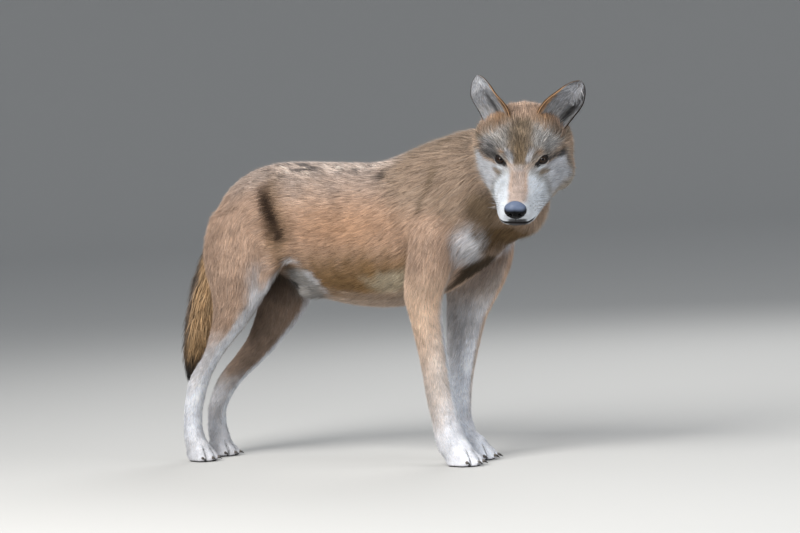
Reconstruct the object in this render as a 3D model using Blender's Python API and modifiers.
"""A grey wolf, life size, standing still with its head turned to its right.

The outer surface of the coat is modelled whole, from swept sections joined on a fine grid, and is
then parted with thin cuts into the pieces a person would name. Metres, +Z up. +X is forward along
the trunk, +Y is the wolf's left, and the paws stand on z = 0.
"""
import math

import bmesh
import bpy
import numpy as np
from mathutils import Matrix, Vector

# ------------------------------------------------------------------ driving sizes
GAP = 0.0003            # clearance between neighbouring solids
GRID = 0.0055           # grid on which the swept masses are joined
COAT_FACES = 4200       # triangles left in the whole coat after thinning
TAIL_FACES = 300        # and in the tail
RING = 28               # points round a swept section
SPAN_STEPS = 5          # rings between two named stations
CENTRE = Vector((-0.0530, -0.0283, 0.0))  # middle of the standing wolf, where the origin is put

# trunk: name, x, top z, keel z, half width, z of the widest level, squareness above and below it
TRUNK = (
    ("rump_end",    -0.538, 0.594, 0.522, 0.028, 0.558, 2.00, 2.00),
    ("tail_head",   -0.510, 0.648, 0.502, 0.056, 0.572, 2.00, 2.00),
    ("pelvis",      -0.457, 0.691, 0.491, 0.080, 0.586, 2.00, 2.00),
    ("croup",       -0.392, 0.717, 0.470, 0.090, 0.595, 2.10, 1.70),
    ("loin",        -0.322, 0.727, 0.429, 0.087, 0.599, 2.20, 1.30),
    ("flank",       -0.248, 0.725, 0.394, 0.095, 0.577, 2.20, 1.45),
    ("ribs",        -0.148, 0.721, 0.374, 0.114, 0.556, 2.20, 1.90),
    ("girth",       -0.038, 0.718, 0.365, 0.120, 0.544, 2.20, 2.00),
    ("withers",      0.042, 0.739, 0.373, 0.112, 0.543, 2.10, 2.00),
    ("shoulder",     0.113, 0.744, 0.392, 0.104, 0.552, 2.10, 2.00),
    ("breast",       0.183, 0.721, 0.423, 0.098, 0.551, 2.10, 2.00),
    ("forechest",    0.247, 0.670, 0.460, 0.086, 0.545, 2.10, 2.00),
    ("prow",         0.297, 0.599, 0.499, 0.054, 0.544, 2.00, 2.00),
)
# the rows below: name, x, y outwards, z, half depth fore and aft, half width
NECK = (
    ("root",         0.054,  0.000, 0.613, 0.126, 0.090),
    ("low_ruff",     0.144,  0.000, 0.631, 0.136, 0.106),
    ("mid_ruff",     0.229,  0.002, 0.646, 0.142, 0.116),
    ("high_ruff",    0.300,  0.008, 0.669, 0.132, 0.118),
    ("nape",         0.356,  0.000, 0.696, 0.108, 0.106),
)
FORELEG_RIGHT = (
    ("blade_top",    0.065,  0.058, 0.673, 0.055, 0.030),
    ("blade",        0.119,  0.084, 0.613, 0.075, 0.036),
    ("shoulder",     0.174,  0.098, 0.537, 0.072, 0.042),
    ("upper_arm",    0.152,  0.098, 0.467, 0.062, 0.044),
    ("elbow",        0.126,  0.087, 0.408, 0.053, 0.041),
    ("forearm_top",  0.126,  0.080, 0.343, 0.041, 0.037),
    ("forearm",      0.130,  0.073, 0.284, 0.037, 0.034),
    ("forearm_low",  0.134,  0.066, 0.221, 0.035, 0.033),
    ("wrist",        0.139,  0.060, 0.162, 0.035, 0.036),
    ("pastern",      0.150,  0.058, 0.103, 0.035, 0.034),
    ("instep",       0.160,  0.060, 0.064, 0.038, 0.037),
    ("foot",         0.168,  0.062, 0.034, 0.034, 0.034),
)
FORELEG_LEFT = (
    ("blade_top",    0.067,  0.058, 0.672, 0.055, 0.030),
    ("blade",        0.124,  0.084, 0.611, 0.075, 0.036),
    ("shoulder",     0.190,  0.100, 0.535, 0.074, 0.043),
    ("upper_arm",    0.182,  0.100, 0.465, 0.064, 0.045),
    ("elbow",        0.147,  0.086, 0.405, 0.068, 0.044),
    ("forearm_top",  0.129,  0.078, 0.342, 0.054, 0.040),
    ("forearm",      0.121,  0.072, 0.283, 0.045, 0.036),
    ("forearm_low",  0.112,  0.066, 0.220, 0.037, 0.033),
    ("wrist",        0.103,  0.060, 0.161, 0.036, 0.036),
    ("pastern",      0.103,  0.058, 0.103, 0.033, 0.034),
    ("instep",       0.112,  0.058, 0.064, 0.034, 0.036),
    ("foot",         0.122,  0.059, 0.034, 0.028, 0.032),
)
HINDLEG_RIGHT = (
    ("hip",         -0.433,  0.052, 0.611, 0.088, 0.044),
    ("thigh",       -0.429,  0.074, 0.521, 0.102, 0.056),
    ("knee",        -0.431,  0.080, 0.436, 0.086, 0.052),
    ("calf",        -0.449,  0.078, 0.383, 0.062, 0.043),
    ("shank_top",   -0.473,  0.075, 0.339, 0.043, 0.035),
    ("shank",       -0.501,  0.071, 0.302, 0.031, 0.029),
    ("shank_low",   -0.539,  0.066, 0.252, 0.022, 0.023),
    ("hock",        -0.585,  0.060, 0.195, 0.027, 0.024),
    ("cannon",      -0.609,  0.056, 0.134, 0.026, 0.024),
    ("cannon_low",  -0.615,  0.056, 0.092, 0.025, 0.024),
    ("instep",      -0.612,  0.056, 0.055, 0.027, 0.028),
    ("foot",        -0.604,  0.056, 0.030, 0.026, 0.026),
)
HINDLEG_LEFT = (
    ("hip",         -0.427,  0.052, 0.610, 0.088, 0.044),
    ("thigh",       -0.419,  0.074, 0.519, 0.102, 0.056),
    ("knee",        -0.406,  0.080, 0.439, 0.088, 0.053),
    ("calf",        -0.420,  0.078, 0.384, 0.074, 0.046),
    ("shank_top",   -0.446,  0.075, 0.335, 0.054, 0.038),
    ("shank",       -0.472,  0.071, 0.298, 0.044, 0.033),
    ("shank_mid",   -0.499,  0.068, 0.266, 0.037, 0.029),
    ("shank_low",   -0.538,  0.064, 0.231, 0.031, 0.026),
    ("hock",        -0.587,  0.060, 0.186, 0.029, 0.025),
    ("cannon",      -0.620,  0.056, 0.134, 0.026, 0.024),
    ("cannon_low",  -0.629,  0.056, 0.092, 0.025, 0.024),
    ("instep",      -0.626,  0.056, 0.055, 0.027, 0.028),
    ("foot",        -0.616,  0.056, 0.030, 0.026, 0.026),
)
FLANK_FOLD = (
    ("knee",        -0.372,  0.078, 0.426, 0.034, 0.026),
    ("fold",        -0.315,  0.076, 0.494, 0.036, 0.020),
    ("flank",       -0.255,  0.062, 0.558, 0.044, 0.022),
    ("loin",        -0.200,  0.042, 0.606, 0.030, 0.020),
)
TAIL = (
    ("root",        -0.466,  0.000, 0.626, 0.032, 0.034),
    ("dock",        -0.507,  0.000, 0.582, 0.035, 0.038),
    ("upper",       -0.542,  0.000, 0.510, 0.042, 0.045),
    ("middle",      -0.581,  0.000, 0.423, 0.048, 0.050),
    ("brush",       -0.605,  0.000, 0.337, 0.050, 0.050),
    ("lower",       -0.627,  0.000, 0.267, 0.043, 0.044),
    ("end",         -0.646,  0.000, 0.214, 0.026, 0.027),
    ("tip",         -0.656,  0.000, 0.184, 0.007, 0.007),
)
# rounded masses: name, centre, radii
MASSES = (
    ("throat_ruff", (0.325, 0.032, 0.606), (0.080, 0.084, 0.090)),
    ("nape",        (0.340, -0.004, 0.712), (0.088, 0.092, 0.088)),
    ("sheath",      (-0.262, 0.000, 0.410), (0.048, 0.024, 0.026)),
)

# head, in its own frame with the nose tip at the origin and +X out of the nose
HEAD_YAW = math.radians(-64.0)
HEAD_PITCH = math.radians(33.0)
HEAD_ROLL = math.radians(-4.0)
NOSE_TIP = Vector((0.477, -0.200, 0.600))
# name, distance behind the nose tip, crest z, jaw z, half width, z of the widest level, squareness
HEAD = (
    ("lip",         0.012, -0.002, -0.054, 0.033, -0.034, 2.0, 2.8),
    ("nostril",     0.026, 0.013, -0.061, 0.044, -0.036, 1.9, 2.8),
    ("muzzle",      0.052, 0.023, -0.066, 0.053, -0.038, 1.8, 2.6),
    ("cheek",       0.086, 0.033, -0.072, 0.063, -0.038, 1.7, 2.5),
    ("stop",        0.112, 0.050, -0.077, 0.072, -0.032, 1.8, 2.4),
    ("brow",        0.138, 0.080, -0.081, 0.084, -0.020, 2.0, 2.3),
    ("temple",      0.164, 0.106, -0.085, 0.098, -0.006, 2.1, 2.3),
    ("forehead",    0.194, 0.118, -0.088, 0.108,  0.010, 2.1, 2.2),
    ("crown",       0.226, 0.124, -0.092, 0.116,  0.014, 2.1, 2.2),
    ("ruff",        0.256, 0.122, -0.092, 0.114,  0.014, 2.1, 2.1),
    ("nape",        0.286, 0.108, -0.084, 0.102,  0.010, 2.0, 2.0),
    ("end",         0.312, 0.084, -0.060, 0.074,  0.006, 2.0, 2.0),
)
# rounded masses on each side of the head: name, behind the nose tip, y outwards, z, radii
HEAD_MASSES = (
    ("brow",  0.150, 0.038,  0.066, (0.030, 0.024, 0.016)),
    ("cheek", 0.212, 0.080, -0.029, (0.058, 0.040, 0.055)),
)
EYE_BACK, EYE_OUT, EYE_UP, EYE_RADIUS = 0.133, 0.0485, 0.044, 0.0118
NOSE_PAD, NOSE_BACK, NOSE_UP = Vector((0.0190, 0.0255, 0.0205)), 0.019, -0.010
# ear: name, height, half width, depth of the cup, drift of the middle line outwards and backwards
EAR = (
    ("base",        -0.022, 0.037, 0.032, -0.004, 0.000),
    ("flare",        0.018, 0.041, 0.028, -0.001, 0.000),
    ("belly",        0.050, 0.039, 0.021,  0.002, 0.001),
    ("upper",        0.078, 0.031, 0.014,  0.006, 0.003),
    ("point",        0.099, 0.018, 0.007,  0.010, 0.005),
    ("tip",          0.110, 0.005, 0.002,  0.012, 0.006),
)
EAR_WALL, EAR_WALL_SHARE = 0.0035, 0.6   # wall, and the most of the half width that it takes
EAR_RING = 12           # points round a level of the ear
EAR_BACK, EAR_UP = 0.212, 0.100
EAR_OUT = {"right": 0.065, "left": 0.074}
EAR_SPLAY = {"right": math.radians(15.0), "left": math.radians(31.0)}
EAR_TURN = {"right": math.radians(24.0), "left": math.radians(8.0)}
EAR_RAKE = {"right": math.radians(20.0), "left": math.radians(20.0)}

# paws: toe name, forward, sideways (inner toe first), length, half width, turn in degrees
TOES = (
    ("inner",       0.012, -0.026, 0.021, 0.0125, -14.0),
    ("inner_middle", 0.032, -0.011, 0.024, 0.0130,  -4.0),
    ("outer_middle", 0.032,  0.011, 0.024, 0.0130,   4.0),
    ("outer",       0.012,  0.026, 0.021, 0.0125,  14.0),
)
TOE_HEIGHT, TOE_UP = 0.0185, 0.0135
# the knuckle on each toe: width and height as shares of the toe's, its slope and place
KNUCKLE_WIDTH, KNUCKLE_HEIGHT = 0.9, 0.8
KNUCKLE_SLOPE, KNUCKLE_BACK, KNUCKLE_UP = math.radians(24.0), 0.016, 0.021
# pads of a paw: name, ahead of its centre, height, radii
PAW_MASSES = (
    ("heel",   -0.013, 0.022, (0.037, 0.034, 0.030)),
    ("instep", -0.004, 0.040, (0.034, 0.030, 0.030)),
)
CLAW_LENGTH, CLAW_RADIUS, CLAW_SIDES = 0.017, 0.0038, 6
CLAW_INSET, CLAW_UP, CLAW_DROP, CLAW_TAPER = 0.006, 0.013, 0.006, 0.8
# paw name: side, centre x, y outwards, turn outwards in degrees, size
PAWS = {
    "forepaw_right": ("right", 0.192, 0.060, -6.0, 0.94),
    "forepaw_left": ("left", 0.150, 0.060, 16.0, 0.94),
    "hindpaw_right": ("right", -0.594, 0.056, 0.0, 0.86),
    "hindpaw_left": ("left", -0.617, 0.056, 6.0, 0.86),
}
SIDE_SIGN = {"right": -1.0, "left": 1.0}

# thin cuts: a point on the plane and its normal
FLOOR = (0.0, 0.0, -GAP / 2)
NECK_CUT = ((0.085, 0.0, 0.753), (0.78, 0.0, 0.626))
NAPE_CUT = ((0.376, -0.012, 0.729), (-0.715, 0.690, 0.12))
JAW_CUT = ((-0.012, 0.0, -0.065), (0.276, 0.0, -0.961))
# left side; top, inner face, rear, front of a whole foreleg, and of a whole hind leg
LEG_CUTS = {
    "fore": (
        ((0.050, 0.0, 0.465), (-0.379, 0.0, 0.926)),
        ((0.000, 0.005, 0.0), (0.0, -0.996, 0.091)),
        ((0.058, 0.0, 0.0), (-1.0, 0.0, 0.0)),
        NECK_CUT,
    ),
    "hind": (
        ((-0.250, 0.0, 0.505), (0.302, 0.0, 0.953)),
        ((0.0, 0.0, 0.0), (0.0, -1.0, 0.0)),
        ((-0.285, 0.0, 0.400), (0.923, 0.0, -0.385)),
    ),
}
# elbow and wrist, then knee and hock; each normal points down the limb
LEG_JOINTS = {
    "fore": (((0.130, 0.0, 0.386), (0.0, 0.0, -1.0)), ((0.140, 0.0, 0.150), (0.0, 0.0, -1.0))),
    "hind": (((-0.430, 0.0, 0.405), (-0.3, 0.0, -0.95)), ((-0.575, 0.0, 0.200), (-0.6, 0.0, -0.8))),
}

COAT_COLOUR = (0.42, 0.29, 0.18)
FINISHES = (
    ("eye", (0.060, 0.028, 0.010), 0.15),
    ("nose", (0.016, 0.016, 0.018), 0.35),
    ("ear", (0.36, 0.27, 0.19), 0.85),
    ("tail", (0.26, 0.19, 0.13), 0.9),
    ("forepaw", (0.62, 0.58, 0.52), 0.9),
    ("hindpaw", (0.62, 0.58, 0.52), 0.9),
)


# ------------------------------------------------------------------ swept shapes
def clear_scene():
    for item in list(bpy.data.objects):
        bpy.data.objects.remove(item, do_unlink=True)


def smooth_rows(rows, steps=SPAN_STEPS):
    """The numbers of named rows as one smooth curve through them (Catmull-Rom spans)."""
    knots = np.array([row[1:] for row in rows], dtype=float)
    padded = np.vstack([2 * knots[0] - knots[1], knots, 2 * knots[-1] - knots[-2]])
    t = np.linspace(0.0, 1.0, steps, endpoint=False)[:, None]
    spans = []
    for i in range(len(knots) - 1):
        before, start, end, after = padded[i:i + 4]
        slope_in = (end - before) / 2
        slope_out = (after - start) / 2
        spans.append((2 * t**3 - 3 * t**2 + 1) * start + (t**3 - 2 * t**2 + t) * slope_in
                     + (3 * t**2 - 2 * t**3) * end + (t**3 - t**2) * slope_out)
    return np.vstack(spans + [knots[-1:]])


def loft(form, rings):
    """Closed skin over rings of equal point count, given as an array (ring, point, xyz)."""
    grid = [[form.verts.new(point) for point in ring] for ring in rings]
    count = len(grid[0])
    for first, second in zip(grid, grid[1:]):
        for i in range(count):
            j = (i + 1) % count
            form.faces.new((first[i], first[j], second[j], second[i]))
    form.faces.new(list(reversed(grid[0])))
    form.faces.new(grid[-1])


def power(values, exponent):
    return np.sign(values) * np.abs(values) ** exponent


def upright_sections(rows):
    """Rings in planes of constant x: a half oval above and another below the widest level."""
    angle = np.linspace(0.0, 2 * math.pi, RING, endpoint=False)
    rings = []
    for x, top, keel, half_width, level, top_power, keel_power in smooth_rows(rows):
        up = np.cos(angle)
        shape = np.where(up > 0, 2 / top_power, 2 / keel_power)
        y = half_width * power(np.sin(angle), shape)
        z = level + np.where(up > 0, top - level, level - keel) * power(up, shape)
        rings.append(np.column_stack([np.full(RING, x), y, z]))
    return np.array(rings)


def limb_sections(rows, side=1.0):
    """Rings square to the path of the rows, half depth fore and aft and half width across."""
    data = smooth_rows(rows)
    path = data[:, :3] * (1.0, side, 1.0)
    tangent = np.gradient(path, axis=0)
    tangent /= np.linalg.norm(tangent, axis=1)[:, None]
    across = np.cross(tangent, np.cross((0.0, 1.0, 0.0), tangent))
    across /= np.linalg.norm(across, axis=1)[:, None]
    along = np.cross(across, tangent)
    angle = np.linspace(0.0, 2 * math.pi, RING, endpoint=False)[None, :, None]
    return (path[:, None] + np.cos(angle) * (along * data[:, 3:4])[:, None]
            + np.sin(angle) * (across * data[:, 4:5])[:, None])


def ball(form, radii, matrix, segments=16, rings=10):
    bmesh.ops.create_uvsphere(form, u_segments=segments, v_segments=rings, radius=1.0,
                              matrix=matrix @ Matrix.Diagonal((*radii, 1.0)))


def head_matrix():
    return (Matrix.Translation(NOSE_TIP) @ Matrix.Rotation(HEAD_YAW, 4, "Z")
            @ Matrix.Rotation(HEAD_PITCH, 4, "Y") @ Matrix.Rotation(HEAD_ROLL, 4, "X"))


def through(matrix, points):
    turn = np.array(matrix)
    return points @ turn[:3, :3].T + turn[:3, 3]


# ------------------------------------------------------------------ the whole coat
def head_form(form):
    """Muzzle, brow, crown and cheek ruff, lofted in the head's own frame."""
    rows = [(name, -back, *rest) for name, back, *rest in HEAD]
    place = head_matrix()
    loft(form, through(place, upright_sections(rows)))
    for sign in SIDE_SIGN.values():
        for _, back, out, up, radii in HEAD_MASSES:
            ball(form, radii, place @ Matrix.Translation((-back, sign * out, up)))


def paw_matrix(name):
    side, x, out, turn, size = PAWS[name]
    sign = SIDE_SIGN[side]
    return (Matrix.Translation((x, sign * out, 0.0))
            @ Matrix.Rotation(sign * math.radians(turn), 4, "Z")
            @ Matrix.Diagonal((size, sign * size, size, 1.0)))


def toe_matrix(name, toe):
    _, forward, sideways, _, _, turn = toe
    return (paw_matrix(name) @ Matrix.Translation((forward, sideways, 0.0))
            @ Matrix.Rotation(math.radians(turn), 4, "Z"))


def paw_form(form, name):
    """A pad and instep with four arched toes in front; the soles reach below z = 0 to be cut."""
    place = paw_matrix(name)
    for _, ahead, up, radii in PAW_MASSES:
        ball(form, radii, place @ Matrix.Translation((ahead, 0.0, up)))
    for toe in TOES:
        length, half_width = toe[3:5]
        spot = toe_matrix(name, toe)
        knuckle = (spot @ Matrix.Rotation(KNUCKLE_SLOPE, 4, "Y")
                   @ Matrix.Translation((-KNUCKLE_BACK, 0.0, KNUCKLE_UP)))
        ball(form, (length, half_width, TOE_HEIGHT), spot @ Matrix.Translation((0.0, 0.0, TOE_UP)))
        ball(form, (length, half_width * KNUCKLE_WIDTH, TOE_HEIGHT * KNUCKLE_HEIGHT), knuckle)


def limb_forms(form):
    for rows, side in ((FORELEG_RIGHT, -1.0), (FORELEG_LEFT, 1.0),
                       (HINDLEG_RIGHT, -1.0), (HINDLEG_LEFT, 1.0),
                       (FLANK_FOLD, -1.0), (FLANK_FOLD, 1.0)):
        loft(form, limb_sections(rows, side))
    for name in PAWS:
        paw_form(form, name)


def new_object(name, form, collection):
    bmesh.ops.recalc_face_normals(form, faces=form.faces)
    mesh = bpy.data.meshes.new(name)
    form.to_mesh(mesh)
    form.free()
    item = bpy.data.objects.new(name, mesh)
    collection.objects.link(item)
    return item


def applied(item, name, collection):
    """A plain mesh object that holds the given object's finished shape; the first is removed."""
    graph = bpy.context.evaluated_depsgraph_get()
    graph.update()
    mesh = bpy.data.meshes.new_from_object(item.evaluated_get(graph))
    result = bpy.data.objects.new(name, mesh)
    collection.objects.link(result)
    bpy.data.objects.remove(item, do_unlink=True)
    return result


def triangle_count(item):
    graph = bpy.context.evaluated_depsgraph_get()
    graph.update()
    return sum(len(face.vertices) - 2 for face in item.evaluated_get(graph).data.polygons)


def fuse(item, collection, faces, rounds=8):
    """Joins the overlapping masses on the grid, smooths the steps and thins the triangles."""
    remesh = item.modifiers.new("join", "REMESH")
    remesh.mode = "VOXEL"
    remesh.voxel_size = GRID
    soften = item.modifiers.new("soften", "SMOOTH")
    soften.factor = 0.5
    soften.iterations = rounds
    total = triangle_count(item)
    thin = item.modifiers.new("thin", "DECIMATE")
    thin.ratio = min(1.0, faces / total)
    return applied(item, item.name + "_whole", collection)


def coat_form(cutters):
    form = bmesh.new()
    loft(form, upright_sections(TRUNK))
    loft(form, limb_sections(NECK))
    for _, centre, radii in MASSES:
        ball(form, radii, Matrix.Translation(centre))
    head_form(form)
    limb_forms(form)
    return fuse(new_object("coat", form, cutters), cutters, COAT_FACES)


def tail_form(cutters):
    form = bmesh.new()
    loft(form, limb_sections(TAIL))
    return fuse(new_object("tail", form, cutters), cutters, TAIL_FACES)


# ------------------------------------------------------------------ ears, eyes, nose, claws
def ear_matrix(side):
    sign = SIDE_SIGN[side]
    return (head_matrix() @ Matrix.Translation((-EAR_BACK, sign * EAR_OUT[side], EAR_UP))
            @ Matrix.Rotation(-sign * EAR_SPLAY[side], 4, "X")
            @ Matrix.Rotation(-EAR_RAKE[side], 4, "Y")
            @ Matrix.Rotation(sign * EAR_TURN[side], 4, "Z"))


def ear_form(side, collection):
    """A leaf-shaped cup: each level is an arc whose hollow faces forward, with a thin wall."""
    sign = SIDE_SIGN[side]
    sweep = np.linspace(-1.0, 1.0, EAR_RING // 2)
    rings = []
    for height, half_width, depth, out, rear in smooth_rows(EAR, 2):
        wall = min(EAR_WALL, half_width * EAR_WALL_SHARE)
        back_of_cup = np.column_stack([-depth * (1 - sweep**2), half_width * sweep])
        front_of_cup = back_of_cup[::-1] * (1.0, 1.0 - wall / half_width * 0.4) + (wall, 0.0)
        level = np.vstack([back_of_cup, front_of_cup])
        level += (depth * 0.5 - rear, sign * out)
        rings.append(np.column_stack([level, np.full(len(level), height)]))
    form = bmesh.new()
    loft(form, through(ear_matrix(side), np.array(rings)))
    return new_object("ear_" + side, form, collection)


def eye_centre(side):
    return head_matrix() @ Matrix.Translation((-EYE_BACK, SIDE_SIGN[side] * EYE_OUT, EYE_UP))


def eye_form(name, side, radius, collection):
    form = bmesh.new()
    ball(form, (radius, radius, radius), eye_centre(side), 12, 8)
    return new_object(name, form, collection)


def nose_form(name, extra, collection):
    form = bmesh.new()
    radii = NOSE_PAD + Vector((extra, extra, extra))
    place = head_matrix() @ Matrix.Translation((-NOSE_BACK, 0.0, NOSE_UP))
    ball(form, radii, place, 12, 8)
    return new_object(name, form, collection)


def claw_forms(name, collection):
    """One bent cone at the end of each toe of a paw, as a single object."""
    form = bmesh.new()
    angle = np.linspace(0.0, 2 * math.pi, CLAW_SIDES, endpoint=False)
    circle = np.column_stack([np.zeros(CLAW_SIDES), np.sin(angle), np.cos(angle)])
    for toe in TOES:
        spot = toe_matrix(name, toe) @ Matrix.Translation((toe[3] - CLAW_INSET, 0.0, CLAW_UP))
        rings = []
        for t in (0.0, 0.5, 1.0):
            centre = np.array((CLAW_LENGTH * t, 0.0, -CLAW_DROP * t**2))
            rings.append(centre + circle * CLAW_RADIUS * (1.0 - CLAW_TAPER * t))
        loft(form, through(spot, np.array(rings)))
    return new_object(name + "_claws", form, collection)


# ------------------------------------------------------------------ thin cuts
def cell(name, planes, collection, grow=0.0):
    """A box trimmed to the inner side of each plane (point, outward normal), moved out by grow."""
    form = bmesh.new()
    bmesh.ops.create_cube(form, size=3.0)
    for point, normal in planes:
        normal = Vector(normal).normalized()
        everything = form.verts[:] + form.edges[:] + form.faces[:]
        cut = bmesh.ops.bisect_plane(form, geom=everything, dist=1e-6, clear_outer=True,
                                     plane_co=Vector(point) + normal * grow, plane_no=normal)
        edges = [piece for piece in cut["geom_cut"] if isinstance(piece, bmesh.types.BMEdge)]
        if edges:
            bmesh.ops.holes_fill(form, edges=edges, sides=0)
    return new_object(name, form, collection)


def boolean(item, cutter, operation):
    step = item.modifiers.new(operation.lower(), "BOOLEAN")
    step.operation = operation
    step.object = cutter
    step.solver = "EXACT"


def swollen(item, amount, name, collection):
    """A copy whose surface is moved out by amount, for cutting a neighbour clear of it."""
    copy = bpy.data.objects.new(name, item.data.copy())
    collection.objects.link(copy)
    push = copy.modifiers.new("clearance", "DISPLACE")
    push.strength = amount
    push.mid_level = 0.0
    return applied(copy, name, collection)


def opposite(plane):
    point, normal = plane
    return point, tuple(-part for part in normal)


def mirrored(plane, side):
    (x, y, z), (across_x, across_y, across_z) = plane
    sign = SIDE_SIGN[side]
    return (x, sign * y, z), (across_x, sign * across_y, across_z)


def head_planes():
    """The cut behind the cheeks, and the one under the jaw that leaves the throat to the neck."""
    place = head_matrix()
    under = place @ Vector(JAW_CUT[0]), place.to_3x3() @ Vector(JAW_CUT[1])
    return [NAPE_CUT, under]


def leg_cells(leg, side):
    """The whole leg's planes, then the planes of each of its lengths from the top down."""
    body, joints = LEG_CUTS[leg], LEG_JOINTS[leg]
    whole = [mirrored(plane, side) for plane in body]
    joints = [mirrored(plane, side) for plane in joints]
    upper = whole + [joints[0]]
    middle = whole + [opposite(joints[0]), joints[1]]
    foot = whole + [opposite(joints[1]), (FLOOR, (0.0, 0.0, -1.0))]
    return whole, {"upper": upper, "lower": middle, "paw": foot}


def body_piece(name, coat, parts):
    piece = bpy.data.objects.new(name, coat.data.copy())
    parts.objects.link(piece)
    return piece


def leg_pieces(coat, parts, cutters):
    """Upper leg, lower leg and paw of each limb; returns a cutter round each whole limb."""
    limbs = []
    for leg in LEG_CUTS:
        for side in SIDE_SIGN:
            whole, lengths = leg_cells(leg, side)
            limb = "%sleg_%s" % (leg, side)
            limbs.append(cell(limb + "_region", whole, cutters, GAP / 2))
            for length, planes in lengths.items():
                name = "%spaw_%s" % (leg, side) if length == "paw" else "%sleg_%s_%s" % (leg, length, side)
                piece = body_piece(name, coat, parts)
                grow = -GAP / 2
                boolean(piece, cell(name + "_region", planes, cutters, grow), "INTERSECT")
                if length == "paw":
                    boolean(piece, claw_forms(name, cutters), "UNION")
    return limbs


def head_pieces(coat, parts, cutters):
    """Head with sockets for the eyes and the nose pad, the ears above it, and the eyes."""
    head = body_piece("head", coat, parts)
    boolean(head, cell("head_region", head_planes(), cutters, -GAP / 2), "INTERSECT")
    around = swollen(coat, GAP, "coat_clearance", cutters)
    for side in SIDE_SIGN:
        eye_form("eye_" + side, side, EYE_RADIUS, parts)
        boolean(head, eye_form("socket_" + side, side, EYE_RADIUS + GAP, cutters), "DIFFERENCE")
        boolean(ear_form(side, parts), around, "DIFFERENCE")
    nose_form("nose", 0.0, parts)
    boolean(head, nose_form("nose_bed", GAP, cutters), "DIFFERENCE")
    return around


def trunk_and_neck(coat, parts, cutters, limbs):
    trunk = body_piece("trunk", coat, parts)
    boolean(trunk, cell("rear_region", [NECK_CUT], cutters, -GAP / 2), "INTERSECT")
    for limb in limbs:
        boolean(trunk, limb, "DIFFERENCE")
    neck = body_piece("neck", coat, parts)
    boolean(neck, cell("neck_region", [opposite(NECK_CUT)], cutters, -GAP / 2), "INTERSECT")
    boolean(neck, cell("head_room", head_planes(), cutters, GAP / 2), "DIFFERENCE")


# ------------------------------------------------------------------ colours and assembly
def finish(item, colour, roughness):
    material = bpy.data.materials.new(item.name)
    material.use_nodes = True
    shader = material.node_tree.nodes["Principled BSDF"]
    shader.inputs["Base Color"].default_value = (*colour, 1.0)
    shader.inputs["Roughness"].default_value = roughness
    item.data.materials.clear()
    item.data.materials.append(material)


def colour_of(name):
    for word, colour, roughness in FINISHES:
        if name.startswith(word):
            return colour, roughness
    return COAT_COLOUR, 0.9


def main():
    clear_scene()
    parts = bpy.data.collections.new("wolf")
    cutters = bpy.data.collections.new("cutters")
    for collection in (parts, cutters):
        bpy.context.scene.collection.children.link(collection)
    stand = bpy.data.objects.new("standing_place", None)
    bpy.context.scene.collection.objects.link(stand)
    stand.location = -CENTRE
    coat = coat_form(cutters)
    limbs = leg_pieces(coat, parts, cutters)
    around = head_pieces(coat, parts, cutters)
    trunk_and_neck(coat, parts, cutters, limbs)
    tail = tail_form(parts)
    tail.name = "tail"
    boolean(tail, around, "DIFFERENCE")
    for item in cutters.objects:
        item.parent = stand
        item.display_type = "WIRE"
        item.hide_render = True
        item.hide_set(True)
    for item in parts.objects:
        item.parent = stand
        finish(item, *colour_of(item.name))


main()
